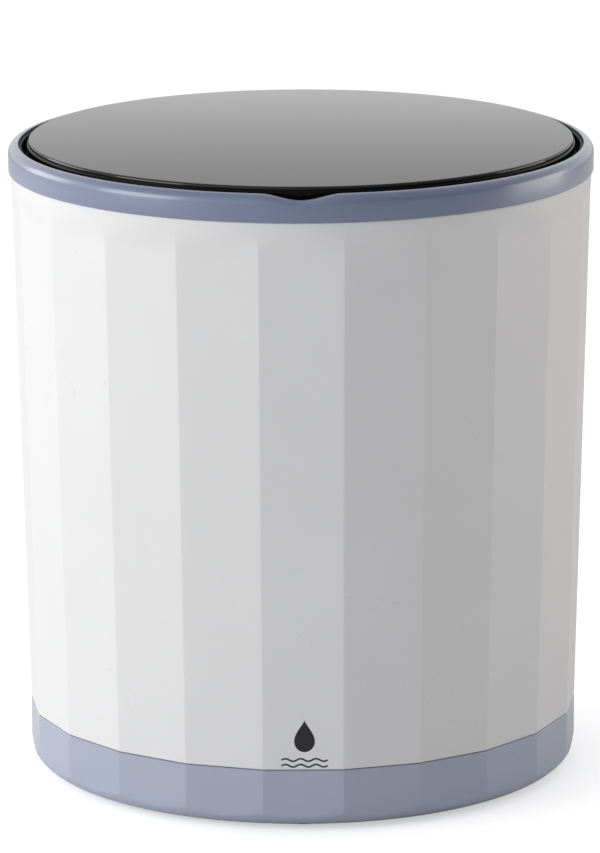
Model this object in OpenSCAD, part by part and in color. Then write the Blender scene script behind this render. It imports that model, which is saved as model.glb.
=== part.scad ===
// Portable mini washer: a faceted bucket casing with a lift-off lid, a wash tub with a turbine
// impeller in its floor, a belt drive under the tub, a drain spout and a small rear control panel.
// Millimetres, +Z up, the front faces -Y, and the origin is the centre of the face it stands on.

/* [Body] */
// Outside diameter of the top ring, the widest place
rim_d = 260; // [216:1:320]
// Height from the floor to the top of the lid
total_h = 285; // [237:1:345]
// Flat facets round the casing, an even number
facets = 22; // [18:2:24]
// Lean of the casing wall, in degrees
draft = 1.37; // [0.8:0.01:1.8]
// Wall of the casing at the middle of a facet
shell_wall = 2.2; // [1.8:0.1:3]

/* [Base] */
// Height of the base tray's top edge above the floor
base_h = 28; // [22:0.5:34]
// Floor thickness of the base tray
base_floor = 3; // [2.5:0.1:4]
// How far the base stands off the floor on its feet
foot_proud = 1.5; // [1:0.1:2.5]
// Radius of a rubber foot
foot_r = 9; // [7:0.5:11]

/* [Top ring and lid] */
// Height of the top ring
ring_h = 12; // [10:0.5:15]
// Radial width of the top ring
ring_w = 4.6; // [4:0.1:6]
// Height of the lid above the top ring
lid_proud = 2; // [1.5:0.1:3]
// Gap between the lid and the top ring's lip
lid_gap = 3.8; // [3:0.1:4.4]
// Thickness of the lid panel
panel_t = 3; // [2.4:0.1:3.4]
// Width of the finger notch in the top ring
notch_w = 32; // [24:1:40]
// Depth of the finger notch
notch_depth = 2.2; // [1.5:0.1:3]

/* [Tub] */
// Wall of the wash tub
tub_wall = 2.4; // [2:0.1:3]
// Height of the tub's floor above the ground
tub_floor_z = 86; // [82:1:96]
// Floor corner radius inside the tub
tub_corner = 14; // [8:1:18]
// Lean of the tub wall, in degrees
tub_draft = 3.5; // [2:0.1:4]
// Radius of the drain hole
drain_r = 8; // [6:0.5:9]

/* [Drive] */
// Diameter of the impeller's spindle
spindle_d = 10; // [8:0.1:12]
// Belt seat diameter of the driven pulley
driven_d = 100; // [80:1:120]
// Belt seat diameter of the motor pulley
pinion_d = 20; // [16:0.5:25]
// Distance between the spindle and the motor shaft
belt_centres = 76; // [74:0.5:90]
// Width of the flat belt
belt_w = 7; // [5:0.5:9]
// Diameter of the motor can
motor_d = 36; // [30:0.5:42]
// Height of the impeller's vanes
vane_h = 15; // [10:0.5:20]
// Number of vanes
vanes = 6; // [4:1:8]

/* [Rear panel and sockets] */
// Width of the control panel plate
panel_w = 30; // [26:0.5:33]
// Height of the control panel plate
panel_h = 62; // [56:1:74]
// Radius of the power button
power_r = 7; // [5:0.1:8]
// Radius of the mode button
mode_r = 5; // [4:0.1:6]
// Travel of a button
button_travel = 0.8; // [0.5:0.1:1]
// Bore radius of the power socket
socket_r = 3.2; // [2.6:0.1:3.6]

/* [Hidden] */
$fn = 180;

// Clearances
slip = 0.2;          // a piece dropped into another
run = 0.05;          // a shaft turning in a bush or a pulley turning in its belt
rest_gap = 0.3;      // a moving piece above its seat
press_gap = 0.2;     // a pressed button above its switch

// Casing
half_step = 180 / facets;
ring_top_z = total_h - lid_proud;
ring_z = ring_top_z - ring_h;
ring_r = rim_d / 2;
ring_in = ring_r - ring_w;
ring_overhang = 1;
shell_top_r = ring_r - ring_overhang;
facet_fade_top = 5;      // the facets fade out this far below the ring
facet_fade_h = 10;
facet_fade_steps = 5;
facet_crown = 0.02;      // a facet bows out by this share of the way to a circle
skin_steps = 4;          // strips across one facet of the casing's skin
facet_seat = 0.05;       // a flange clears the crown of the facet it sits on
ledge_w = 5.5;
ledge_h = 4;
function corner_r(z) = shell_top_r - (ring_z - z) * tan(draft);
function flat_r(z) = corner_r(z) * cos(half_step);
function inner_r(z) = flat_r(z) - shell_wall;
facet_lean = atan(tan(draft) * cos(half_step));

// Base tray
base_bottom_z = foot_proud;
base_edge_r = 9;         // rounding under the base
spigot_h = 5;
spigot_t = 1.8;
screw_r = 1.5;
screw_head_r = 3;
screw_head_h = 2;
screw_post_r = 4.5;
base_post_count = 4;
screw_edge = 2;          // from a screw head to the rounding under the base
base_post_r = corner_r(base_h) - base_edge_r - screw_head_r - screw_edge;
boss_h = 20;
foot_recess = 1.2;
foot_h = foot_proud + foot_recess;
foot_ring_r = corner_r(base_h) - base_edge_r - foot_r - 3;

// Lid and its seat
flange_t = 2.2;
flange_top_z = ring_z + flange_t;
seat_t = 1.8;
seat_floor_z = flange_top_z + seat_t;
seat_wall = 1.3;
seat_out = ring_in - slip;
seat_wall_top_z = ring_top_z - 1.2;
tub_top_r = ring_in - 12.4;
lid_r = ring_in - lid_gap;
lid_skirt_t = 1.8;
lid_under_z = total_h - panel_t;
lid_skirt_z = seat_floor_z + 4.6;
liner_t = 2.4;
liner_r = lid_r - lid_skirt_t - slip;
liner_z = lid_under_z - liner_t;
rib_t = 2.2;
gasket_w = 4;
gasket_out = liner_r - rib_t - slip;
gasket_z = seat_floor_z + rest_gap;

// Tub
tub_under_z = tub_floor_z - 2.6;
pad_r = 40;
pad_z = tub_floor_z - 7;
function tub_r(z) = tub_top_r - (ring_z - z) * tan(tub_draft);
floor_r = tub_r(tub_floor_z + tub_corner) - tub_corner;
spigot_wall = 2.4;
drain_spigot_r = drain_r + spigot_wall;
drain_spigot_len = 12;
grille_r = drain_r + 2.5;
drain_pos_r = floor_r - grille_r - 1;
drain_turn = 360 / facets;
drain_dir = [-sin(drain_turn), cos(drain_turn)];

// Spindle line
spindle_r = spindle_d / 2;
bush_wall = 3;
bush_r = spindle_r + bush_wall;
bush_len = 14;
seal_r = spindle_r + 7;
seal_h = 7;
housing_r = bush_r + 8;
flange_h = 4;
housing_flange_r = pad_r - 2;
housing_screw_pcd = housing_flange_r + housing_r;
housing_z = 34;
belt_t = 2.5;
driven_r = driven_d / 2;
pinion_r = pinion_d / 2;
pulley_z = 13;
pulley_flange = 1;
pulley_lip = belt_t + 0.6;
pulley_h = belt_w + 1 + 2 * pulley_flange;
pulley_hub_r = spindle_r + 6;
pulley_hub_h = pulley_h + 1;
washer_t = 1;
nut_h = 4;
thread_r = spindle_r - 1;
spindle_end_z = pulley_z - washer_t - nut_h - 1;
circlip_t = 1.2;
hub_top_z = tub_floor_z + 18;
impeller_gap = 2;
impeller_t = 3;
impeller_z = tub_floor_z + impeller_gap;
impeller_r = drain_pos_r - grille_r - 3;
impeller_hub_r = 19;
cap_recess = 4.5;
cap_r = 8;
cap_plug = 1.8;
cap_dome = 3;

// Motor
motor_r = motor_d / 2;
bracket_t = 2.4;
bracket_z = pulley_z + pulley_hub_h + 1.2;
motor_z = bracket_z + bracket_t;
end_cap_h = 8;
motor_top_z = tub_under_z - 3;
can_wall = 1.4;
magnet_t = 3;
armature_gap = 0.8;
motor_shaft_r = 2.5;
motor_screw_r = 12;
motor_at = [-belt_centres, 0];
post_r = 5;
post_span = motor_r + post_r + 9;
grommet_h = 3;
post_end_z = motor_z + grommet_h;
slot_play = 3;

// Rear panel, in the frame of a facet: +Z outwards, +Y up the facet
panel_z = (tub_floor_z + ring_z) / 2;
panel_plate_t = 1.4;
panel_body_t = 3;
panel_edge = 2;
button_proud = 0.9;
button_lip = 1.2;
button_lip_t = 1.3;
button_y = 12;
board_depth = 7.6;
board_t = 1.6;
board_w = panel_w - 2 * panel_edge - 2;
board_h = panel_h - 2 * panel_edge - 2;
board_post_r = 2.2;
board_screw_r = 0.9;
board_post_y = board_h / 2 - board_post_r - 0.6;
connector_y = -17;
connector_h = 5;
connector_t = 3.2;
lens_r = 1.5;
lens_y = -button_y - mode_r - 4;

// Drain outlet and power socket, on the facets beside the rear one
outlet_z = 52;
hose_wall = 2;
hose_r = drain_spigot_r + hose_wall;
spout_bore = drain_r - 0.5;
spout_flange_r = 15;
spout_flange_t = 2.6;
spout_tail = 16;
spout_nut_t = 4;
nut_seat = 1.4;          // a flat nut clears the round inside of the wall
spout_nut_back = shell_wall + nut_seat + spout_nut_t;
hose_gap = 0.4;          // from the hose's end to the spout's nut
plug_r = spout_bore - 0.25;
plug_len = 9;
plug_head_r = 11;
plug_head_t = 3;
socket_z = 46;
socket_body_r = socket_r + 2.4;
socket_flange_r = socket_body_r + 2.2;
socket_flange_t = 1.8;
socket_depth = 15;
socket_nut_t = 2.4;
lead_r = 1.6;

// ---- shared shapes -------------------------------------------------------------------------

// Points of an arc in a profile, from angle a to angle b
function arc(x, z, r, a, b, steps = 6) =
    [for (i = [0:steps]) let (t = a + (b - a) * i / steps) [x + r * cos(t), z + r * sin(t)]];

// A closed skin through rings of equally many points, lowest ring first
module skin(rings) {
    count = len(rings[0]);
    last = len(rings) - 1;
    walls = [for (i = [0:last - 1]) for (k = [0:count - 1])
        let (n = (k + 1) % count, low = i * count, high = low + count)
        each [[low + k, high + n, low + n], [low + k, high + k, high + n]]];
    floor_face = [[for (k = [0:count - 1]) k]];
    top_face = [[for (k = [count - 1:-1:0]) last * count + k]];
    polyhedron(points = [for (ring = rings) each ring], faces = concat(floor_face, walls, top_face));
}

// The casing's outline at height z, from flat facets (round = 0) to a circle (round = 1)
function outline(z, round) = [for (k = [0:facets * skin_steps - 1])
    let (off = abs((k + skin_steps / 2) % skin_steps - skin_steps / 2) * 2 * half_step / skin_steps,
        r = corner_r(z) * (round + (1 - round) * cos(half_step) / cos(off)),
        t = -90 + k * 2 * half_step / skin_steps)
    [r * cos(t), r * sin(t), z]];

// A leaning prism with flat facets, from z1 to z2
module facet_prism(z1, z2) skin([for (z = [z1, z2]) [for (k = [0:facets - 1])
    let (t = -90 + (2 * k + 1) * half_step) [corner_r(z) * cos(t), corner_r(z) * sin(t), z]]]);

module revolve(points) rotate_extrude() polygon(points);

module tube(outer, inner, h) difference() {
    cylinder(r = outer, h = h);
    translate([0, 0, -1]) cylinder(r = inner, h = h + 2);
}

// Places children on facet k counted from the rear: +Z outwards, +Y up the facet
module on_facet(k, z) rotate([0, 0, k * 2 * half_step]) translate([0, flat_r(z), z])
    rotate([-90 - facet_lean, 0, 0]) rotate([0, 0, 180]) children();

module around(count, radius, start = 0) for (i = [0:count - 1])
    rotate([0, 0, start + i * 360 / count]) translate([radius, 0, 0]) children();

module block(w, h, t) translate([-w / 2, -h / 2, 0]) cube([w, h, t]);

// A screw that points up, its head below z = 0, with a cross recess
module screw(r, head_r, head_h, length) difference() {
    union() {
        translate([0, 0, -head_h]) cylinder(r = head_r, h = head_h);
        cylinder(r = r, h = length);
    }
    for (turn = [0, 90]) rotate([0, 0, turn])
        translate([0, 0, -head_h - 0.1]) block(head_r * 1.3, head_r * 0.3, head_h * 0.6);
}

function unit(v) = v / norm(v);

// A path with its corners rounded once: each inner corner becomes two points
function soften(p) = concat([p[0]],
    [for (i = [1:len(p) - 2]) each [(p[i - 1] + 3 * p[i]) / 4, (3 * p[i] + p[i + 1]) / 4]],
    [p[len(p) - 1]]);

// A lead swept along a list of points, 8-sided; reference is never along the path
module lead(corners, reference) {
    p = soften(soften(corners));
    last = len(p) - 1;
    skin([for (i = [0:last])
        let (way = unit(p[min(i + 1, last)] - p[max(i - 1, 0)]), u = unit(cross(way, reference)), v = cross(way, u))
        [for (t = [0:45:315]) p[i] + lead_r * (cos(t) * u + sin(t) * v)]]);
}

// ---- casing --------------------------------------------------------------------------------

module outer_shell() color("whitesmoke") {
    fade_z = ring_z - facet_fade_top - facet_fade_h;
    difference() {
        union() {
            difference() {
                skin(concat([outline(base_h, facet_crown)],
                    [for (i = [0:facet_fade_steps]) let (u = i / facet_fade_steps)
                        outline(fade_z + u * facet_fade_h, max(facet_crown, u * u * (3 - 2 * u)))],
                    [outline(ring_z, 1)]));
                translate([0, 0, base_h - 1])
                    cylinder(r1 = inner_r(base_h - 1), r2 = inner_r(ring_z + 1), h = ring_z - base_h + 2);
            }
            shell_ledge();
            shell_bosses();
        }
        on_facet(0, panel_z) translate([0, 0, -20])
            block(panel_w - 2 * panel_edge + 2 * slip, panel_h - 2 * panel_edge + 2 * slip, 30);
        on_facet(1, outlet_z) translate([0, 0, -12]) cylinder(r = drain_spigot_r + slip, h = 20);
        on_facet(-1, socket_z) translate([0, 0, -12]) cylinder(r = socket_body_r + slip, h = 20);
        around(base_post_count, base_post_r, 45)
            translate([0, 0, base_h - 1]) cylinder(r = screw_r, h = boss_h - 2);
    }
}

// The inner ledge that the tub's flange hangs on
module shell_ledge() {
    wall_r = inner_r(ring_z) + 0.4;
    revolve([[wall_r - ledge_w, ring_z], [wall_r - ledge_w, ring_z - 1.5],
        [inner_r(ring_z - ledge_h - 2) + 0.4, ring_z - ledge_h - 2], [wall_r, ring_z]]);
}

// Screw bosses at the foot of the casing, each tied to the wall by a web
module shell_bosses() intersection() {
    around(base_post_count, base_post_r, 45) {
        translate([0, 0, base_h]) cylinder(r = screw_post_r, h = boss_h);
        translate([0, -1.5, base_h + spigot_h + 1]) cube([inner_r(base_h) + 2 - base_post_r, 3, boss_h - spigot_h - 1]);
    }
    translate([0, 0, base_h]) cylinder(r = inner_r(base_h) + 0.8, h = boss_h);
}

module base_tray() color("lightsteelblue") difference() {
    union() {
        difference() {
            intersection() {
                facet_prism(base_bottom_z - 1, base_h);
                revolve(concat([[0, base_bottom_z]],
                    arc(corner_r(base_h) - base_edge_r + 0.4, base_bottom_z + base_edge_r, base_edge_r, -90, 0),
                    [[corner_r(base_h) + 1, base_h + 1], [0, base_h + 1]]));
            }
            revolve([[0, base_bottom_z + base_floor],
                [inner_r(base_h) - 8, base_bottom_z + base_floor],
                [inner_r(base_h), base_bottom_z + base_floor + 8],
                [inner_r(base_h), base_h + 2], [0, base_h + 2]]);
        }
        base_spigot();
        around(base_post_count, base_post_r, 45) translate([0, 0, base_bottom_z])
            cylinder(r = screw_post_r, h = base_h - base_bottom_z);
    }
    around(base_post_count, base_post_r, 45) {
        translate([0, 0, base_bottom_z - 1]) cylinder(r = screw_head_r + 0.4, h = screw_head_h + 2);
        translate([0, 0, base_bottom_z]) cylinder(r = screw_r + 0.3, h = base_h);
    }
    around(4, foot_ring_r) translate([0, 0, base_bottom_z - 1])
        cylinder(r = foot_r, h = foot_recess + 1);
    base_vents();
}

// The upstand that locates the casing on the tray
module base_spigot() translate([0, 0, base_h - 9]) difference() {
    cylinder(r = inner_r(base_h) + 0.4, h = 9);
    translate([0, 0, -1]) cylinder(r = inner_r(base_h) - slip - spigot_t, h = 9 + spigot_h);
    translate([0, 0, 9]) tube(inner_r(base_h) + 2, inner_r(base_h) - slip, spigot_h);
}

// Rows of cooling slots under the motor and the pulley
module base_vents() for (row = [-2:2]) for (side = [-1, 1])
    translate([side * 34, row * 11, base_bottom_z - 1]) block(44, 4, base_floor + 2);

module rubber_feet() color("dimgray") around(4, foot_ring_r)
    revolve([[0, 0], [foot_r - 1, 0], [foot_r - slip / 2, 0.8], [foot_r - slip / 2, foot_h], [0, foot_h]]);

module base_screws() color("silver") around(base_post_count, base_post_r, 45)
    translate([0, 0, base_bottom_z + screw_head_h + 1]) screw(screw_r, screw_head_r, screw_head_h, base_h + 6);

// ---- top ring, lid seat and lid ------------------------------------------------------------

// The finger scoop: a shallow round cut across the front of the ring
module notch_cut() {
    scoop_r = (notch_w * notch_w / 4 + notch_depth * notch_depth) / (2 * notch_depth);
    translate([0, -ring_in + 12, ring_top_z - notch_depth + scoop_r]) rotate([90, 0, 0])
        cylinder(r = scoop_r, h = ring_w + 24);
}

module top_ring() color("lightsteelblue") difference() {
    revolve(concat(
        [[ring_r - ring_w / 2, ring_z], [ring_r - 0.2, ring_z], [ring_r, ring_z + 0.3]],
        arc(ring_r - 3, ring_top_z - 5, 3, 0, 45, 4),
        arc(ring_in + 1, ring_top_z - 1, 1, 50, 180, 5),
        [[ring_in, flange_top_z], [ring_r - ring_w / 2, flange_top_z]]));
    notch_cut();
}

module lid_seat() color("black") difference() {
    revolve([[tub_top_r, flange_top_z], [seat_out, flange_top_z], [seat_out, seat_wall_top_z],
        [seat_out - seat_wall, seat_wall_top_z], [seat_out - seat_wall, seat_floor_z],
        [tub_top_r, seat_floor_z]]);
    notch_cut();
}

module lid_panel() color("darkslategray") revolve([[0, lid_under_z], [lid_r - lid_skirt_t, lid_under_z],
    [lid_r - lid_skirt_t, lid_skirt_z], [lid_r - 0.4, lid_skirt_z], [lid_r, lid_skirt_z + 0.4],
    [lid_r, total_h - 1.3], [lid_r - 0.5, total_h - 0.3], [lid_r - 1.3, total_h], [0, total_h]]);

module lid_liner() color("black") {
    rib_z = gasket_z + 0.8;
    translate([0, 0, liner_z]) cylinder(r = liner_r, h = liner_t);
    translate([0, 0, rib_z]) tube(liner_r, gasket_out, liner_z - rib_z + 1);
    translate([0, 0, rib_z]) tube(gasket_out - gasket_w, gasket_out - gasket_w - rib_t, liner_z - rib_z + 1);
    for (turn = [0:60:120]) rotate([0, 0, turn])
        translate([-gasket_out + gasket_w, -1, rib_z + 2]) cube([2 * (gasket_out - gasket_w), 2, liner_z - rib_z - 1]);
}

module lid_gasket() color("gray") translate([0, 0, gasket_z])
    tube(gasket_out, gasket_out - gasket_w, liner_z - gasket_z);

// ---- wash tub and impeller -----------------------------------------------------------------

module tub_profile(grow, floor_z, top_z) revolve(concat(
    [[0, floor_z]],
    arc(tub_r(tub_floor_z + tub_corner) - tub_corner, tub_floor_z + tub_corner, tub_corner + grow, -90, -tub_draft),
    [[tub_r(top_z) + grow, top_z], [0, top_z]]));

module wash_tub() color("gainsboro") difference() {
    union() {
        tub_profile(tub_wall, tub_floor_z - tub_wall, ring_z + flange_t);
        translate([0, 0, ring_z]) cylinder(r = ring_r - ring_w / 2 - slip, h = flange_t);
        translate([0, 0, pad_z]) cylinder(r = pad_r, h = tub_floor_z - pad_z);
        translate(concat(drain_pos_r * drain_dir, [tub_under_z - drain_spigot_len]))
            cylinder(r = drain_spigot_r, h = drain_spigot_len + 1);
        for (side = [-1, 1]) translate([motor_at[0], side * post_span, post_end_z])
            cylinder(r = post_r, h = tub_floor_z + tub_corner - post_end_z);
    }
    tub_profile(0, tub_floor_z, ring_z + flange_t + 1);
    translate([0, 0, pad_z - 1]) cylinder(r = spindle_r + 4, h = 20);
    translate(concat(drain_pos_r * drain_dir, [0])) cylinder(r = drain_r, h = tub_floor_z + 5);
    around(4, housing_screw_pcd / 2, 45) translate([0, 0, pad_z - 1]) cylinder(r = screw_r, h = 6.5);
    for (side = [-1, 1]) translate([motor_at[0], side * post_span, post_end_z - 1])
        cylinder(r = screw_r, h = 13);
}

module drain_grille() color("silver") translate(concat(drain_pos_r * drain_dir, [tub_floor_z])) difference() {
    cylinder(r = grille_r, h = 1.2);
    translate([0, 0, -1]) cylinder(r = 1.5, h = 4);
    around(6, drain_r * 0.6) translate([0, 0, -1]) cylinder(r = 1.5, h = 4);
}

// One curved vane, swept round an arc in plan and clipped to the hub's slope
module vane() {
    bend = impeller_r * 0.62;
    vane_t = 3.2;
    translate([0, bend, 0]) intersection() {
        tube(bend + vane_t / 2, bend - vane_t / 2, vane_h + impeller_t);
        translate([0, -bend - vane_t, 0]) cube([2 * bend, bend + vane_t, vane_h + impeller_t]);
    }
}

module impeller() color("lightsteelblue") difference() {
    union() {
        translate([0, 0, impeller_z]) cylinder(r = impeller_r, h = impeller_t);
        translate([0, 0, impeller_z + impeller_t - 0.5])
            cylinder(r1 = impeller_hub_r, r2 = cap_r + 4, h = hub_top_z - impeller_z - impeller_t + cap_recess + 0.5);
        intersection() {
            around(vanes, 0) translate([0, 0, impeller_z]) vane();
            revolve([[0, impeller_z], [impeller_r - 1, impeller_z], [impeller_r - 1, impeller_z + impeller_t + 3],
                [impeller_hub_r, impeller_z + impeller_t + vane_h - 3], [0, impeller_z + impeller_t + vane_h - 3]]);
        }
    }
    translate([0, 0, impeller_z - 1]) cylinder(r = spindle_r, h = hub_top_z - impeller_z + 1);
    translate([0, 0, hub_top_z]) cylinder(r = cap_r, h = 20);
    around(vanes, impeller_r * 0.74, 30) translate([0, 0, impeller_z - 1]) cylinder(r = 2.2, h = impeller_t + 2);
}

module impeller_screw() color("silver") translate([0, 0, hub_top_z]) rotate([180, 0, 0])
    screw(2, 4.5, 2.4, 9);

module impeller_cap() color("lightsteelblue") translate([0, 0, hub_top_z + cap_recess]) {
    translate([0, 0, -cap_plug]) cylinder(r = cap_r - 0.1, h = cap_plug);
    revolve(concat([[0, 0], [cap_r + 2, 0]],
        [for (t = [15:15:90]) [(cap_r + 2) * cos(t), cap_dome * sin(t)]]));
}

// ---- spindle, bearings and pulley ----------------------------------------------------------

module spindle() color("silver") difference() {
    union() {
        translate([0, 0, pulley_z]) cylinder(r = spindle_r, h = hub_top_z - pulley_z);
        translate([0, 0, spindle_end_z]) cylinder(r = thread_r, h = pulley_z - spindle_end_z);
    }
    translate([0, 0, hub_top_z - 10]) cylinder(r = 2, h = 11);
}

module bearing_housing() color("lightgray") difference() {
    union() {
        translate([0, 0, pad_z - flange_h]) cylinder(r = housing_flange_r, h = flange_h);
        translate([0, 0, housing_z]) cylinder(r = housing_r, h = pad_z - housing_z);
        for (turn = [0, 90]) rotate([0, 0, turn]) translate([0, 0, pad_z - flange_h - 14])
            block(2 * housing_flange_r - 6, 3, 14.5);
    }
    translate([0, 0, housing_z - 1]) cylinder(r = spindle_r + 1, h = pad_z);
    translate([0, 0, housing_z - 1]) cylinder(r = bush_r, h = bush_len + 1);
    translate([0, 0, pad_z - seal_h - bush_len - 1]) cylinder(r = bush_r, h = bush_len + 2);
    translate([0, 0, pad_z - seal_h]) cylinder(r = seal_r, h = seal_h + 1);
    around(4, housing_screw_pcd / 2, 45) translate([0, 0, pad_z - flange_h - 1])
        cylinder(r = screw_r + 0.3, h = flange_h + 2);
}

module bush(z) color("peru") translate([0, 0, z]) tube(bush_r, spindle_r + run, bush_len);

module upper_bush() bush(pad_z - seal_h - bush_len);

module lower_bush() bush(housing_z);

module shaft_seal() color("black") translate([0, 0, pad_z - seal_h]) difference() {
    cylinder(r = seal_r, h = seal_h);
    translate([0, 0, -1]) cylinder(r = spindle_r + run, h = seal_h + 2);
    translate([0, 0, 2]) tube(seal_r - 2, spindle_r + 2, seal_h);
}

module housing_screws() color("silver") around(4, housing_screw_pcd / 2, 45)
    translate([0, 0, pad_z - flange_h]) screw(screw_r, screw_head_r, screw_head_h, flange_h + 5);

module spindle_circlip() color("dimgray") translate([0, 0, pulley_z + pulley_hub_h]) difference() {
    tube(spindle_r + 2.5, spindle_r, circlip_t);
    translate([0, -1, -1]) cube([20, 2, circlip_t + 2]);
}

// A flanged pulley on the pulley line; spokes open its web when it is large
module pulley(seat_r, bore_r, hub_r, spokes) difference() {
    union() {
        translate([0, 0, pulley_z]) {
            cylinder(r = seat_r, h = pulley_h);
            cylinder(r = seat_r + pulley_lip, h = pulley_flange);
            translate([0, 0, pulley_h - pulley_flange]) cylinder(r = seat_r + pulley_lip, h = pulley_flange);
            cylinder(r = hub_r, h = pulley_hub_h);
        }
    }
    translate([0, 0, pulley_z - 1]) cylinder(r = bore_r, h = pulley_hub_h + 2);
    if (spokes > 0) {
        for (z = [pulley_z - 1, pulley_z + pulley_h / 2 + 1.5]) translate([0, 0, z])
            tube(seat_r - 4, hub_r, pulley_h / 2 - 0.5);
        around(spokes, (seat_r - 4 + hub_r) / 2, 30) translate([0, 0, pulley_z])
            cylinder(r = (seat_r - 4 - hub_r) / 2 - 4, h = pulley_h);
    }
}

module driven_pulley() color("darkslategray") pulley(driven_r, spindle_r, pulley_hub_r, 6);

module pulley_washer() color("silver") translate([0, 0, pulley_z - washer_t])
    tube(thread_r + 4, thread_r, washer_t);

module pulley_nut() color("silver") translate([0, 0, pulley_z - washer_t - nut_h]) difference() {
    cylinder(r = thread_r * 1.85, h = nut_h, $fn = 6);
    translate([0, 0, -1]) cylinder(r = thread_r, h = nut_h + 2);
}

// The outline of a loop round both pulleys: an arc on each and straight runs between
function loop(big_r, small_r) = let (lean = acos((big_r - small_r) / belt_centres)) concat(
    [for (i = [0:120]) let (t = lean - 180 + i * (360 - 2 * lean) / 120) big_r * [cos(t), sin(t)]],
    [for (i = [0:40]) let (t = 180 - lean + i * 2 * lean / 40) motor_at + small_r * [cos(t), sin(t)]]);

module drive_belt() color("black") translate([0, 0, pulley_z + (pulley_h - belt_w) / 2])
    linear_extrude(height = belt_w) difference() {
        polygon(loop(driven_r + run + belt_t, pinion_r + run + belt_t));
        polygon(loop(driven_r + run, pinion_r + run));
    }

// ---- motor ---------------------------------------------------------------------------------

module at_motor(z) translate([motor_at[0], motor_at[1], z]) children();

module motor_can() color("silver") at_motor(motor_z) difference() {
    can_h = motor_top_z - end_cap_h - motor_z;
    cylinder(r = motor_r, h = can_h);
    translate([0, 0, 2]) cylinder(r = motor_r - can_wall, h = can_h);
    translate([0, 0, -1]) cylinder(r = motor_shaft_r + run, h = 4);
    around(2, motor_screw_r) translate([0, 0, -1]) cylinder(r = screw_r, h = 4);
}

module motor_end_cap() color("black") at_motor(motor_top_z - end_cap_h) difference() {
    union() {
        cylinder(r = motor_r, h = end_cap_h - 2);
        cylinder(r = motor_r - 6, h = end_cap_h);
        for (side = [-1, 1]) translate([side * 9 - 1.5, motor_r - 7, 0]) cube([3, 6, end_cap_h]);
    }
    translate([0, 0, -1]) cylinder(r = motor_r - can_wall - 2, h = 4);
    translate([0, 0, -1]) cylinder(r = motor_shaft_r + run, h = end_cap_h - 1);
}

module motor_magnets() color("dimgray") at_motor(motor_z + 8) difference() {
    tube(motor_r - can_wall, motor_r - can_wall - magnet_t, motor_top_z - end_cap_h - motor_z - 14);
    for (turn = [0, 180]) rotate([0, 0, turn])
        translate([0, -3, -1]) cube([motor_r, 6, motor_top_z]);
}

module motor_armature() color("peru") at_motor(motor_z + 8) difference() {
    core_r = motor_r - can_wall - magnet_t - armature_gap;
    core_h = motor_top_z - end_cap_h - motor_z - 16;
    union() {
        cylinder(r = core_r, h = core_h);
        translate([0, 0, -2]) cylinder(r = core_r - 3, h = core_h + 4);
        cylinder(r = motor_shaft_r + 2.5, h = core_h + 5);
    }
    around(5, core_r) translate([0, 0, -1]) cylinder(r = 1.3, h = core_h + 2, $fn = 24);
    translate([0, 0, -4]) cylinder(r = motor_shaft_r, h = core_h + 20);
}

module motor_shaft() color("silver") at_motor(pulley_z - 2)
    cylinder(r = motor_shaft_r, h = motor_top_z - pulley_z - 1);

module motor_pulley() color("darkslategray") at_motor(0)
    pulley(pinion_r, motor_shaft_r, motor_shaft_r + 3.5, 0);

module motor_bracket() color("lightgray") translate([0, 0, bracket_z]) linear_extrude(height = bracket_t)
    difference() {
        union() {
            translate([motor_at[0] - post_r - 4, -post_span]) square([2 * (post_r + 4), 2 * post_span]);
            for (side = [-1, 1]) translate([motor_at[0], side * post_span]) circle(r = post_r + 4);
            translate(motor_at) circle(r = motor_r - 1);
        }
        translate(motor_at) circle(r = motor_shaft_r + 3);
        for (side = [-1, 1]) {
            translate([motor_at[0] + side * motor_screw_r, 0]) circle(r = screw_r + slip);
            translate([motor_at[0], side * post_span]) {
                square([2 * slot_play, 2 * (screw_r + slip)], center = true);
                for (end = [-1, 1]) translate([end * slot_play, 0]) circle(r = screw_r + slip);
            }
        }
    }

module motor_screws() color("silver") at_motor(bracket_z)
    around(2, motor_screw_r) screw(screw_r, screw_head_r - 0.5, 1, bracket_t + 2.5);

module bracket_screws() color("silver") for (side = [-1, 1])
    translate([motor_at[0], side * post_span, bracket_z])
        screw(screw_r, screw_head_r + 1, screw_head_h, bracket_t + grommet_h + 9);

module bracket_grommets() color("dimgray") for (side = [-1, 1])
    translate([motor_at[0], side * post_span, bracket_z + bracket_t])
        tube(post_r + 1, screw_r, grommet_h);

// ---- rear control panel --------------------------------------------------------------------

module control_panel() color("lightsteelblue") on_facet(0, panel_z) difference() {
    union() {
        translate([0, 0, facet_seat]) block(panel_w, panel_h, panel_plate_t - facet_seat);
        translate([0, 0, -panel_body_t])
            block(panel_w - 2 * panel_edge, panel_h - 2 * panel_edge, panel_body_t + 0.5);
        for (side = [-1, 1]) translate([0, side * board_post_y, -board_depth])
            cylinder(r = board_post_r, h = board_depth);
    }
    button_hole(button_y, power_r);
    button_hole(-button_y, mode_r);
    translate([0, lens_y, -board_depth]) cylinder(r = lens_r + slip, h = 20);
    for (side = [-1, 1]) translate([0, side * board_post_y, -board_depth - 1])
        cylinder(r = board_screw_r, h = 6);
}

module button_hole(y, r) translate([0, y, 0]) {
    translate([0, 0, -board_depth]) cylinder(r = r + slip, h = 20);
    translate([0, 0, -board_depth]) cylinder(r = r + button_lip + slip, h = board_depth - panel_body_t + button_lip_t);
}

// A button cap with the lip that keeps it behind the plate
module button(y, r) on_facet(0, panel_z) translate([0, y, 0]) {
    crown_z = panel_plate_t + button_proud;
    revolve([[0, -panel_body_t - rest_gap], [r + button_lip, -panel_body_t - rest_gap],
        [r + button_lip, -panel_body_t + button_lip_t - rest_gap], [r, -panel_body_t + button_lip_t - rest_gap],
        [r, crown_z - 0.5], [r - 0.5, crown_z], [0, crown_z - 0.3]]);
}

module power_button() color("white") button(button_y, power_r);

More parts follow.
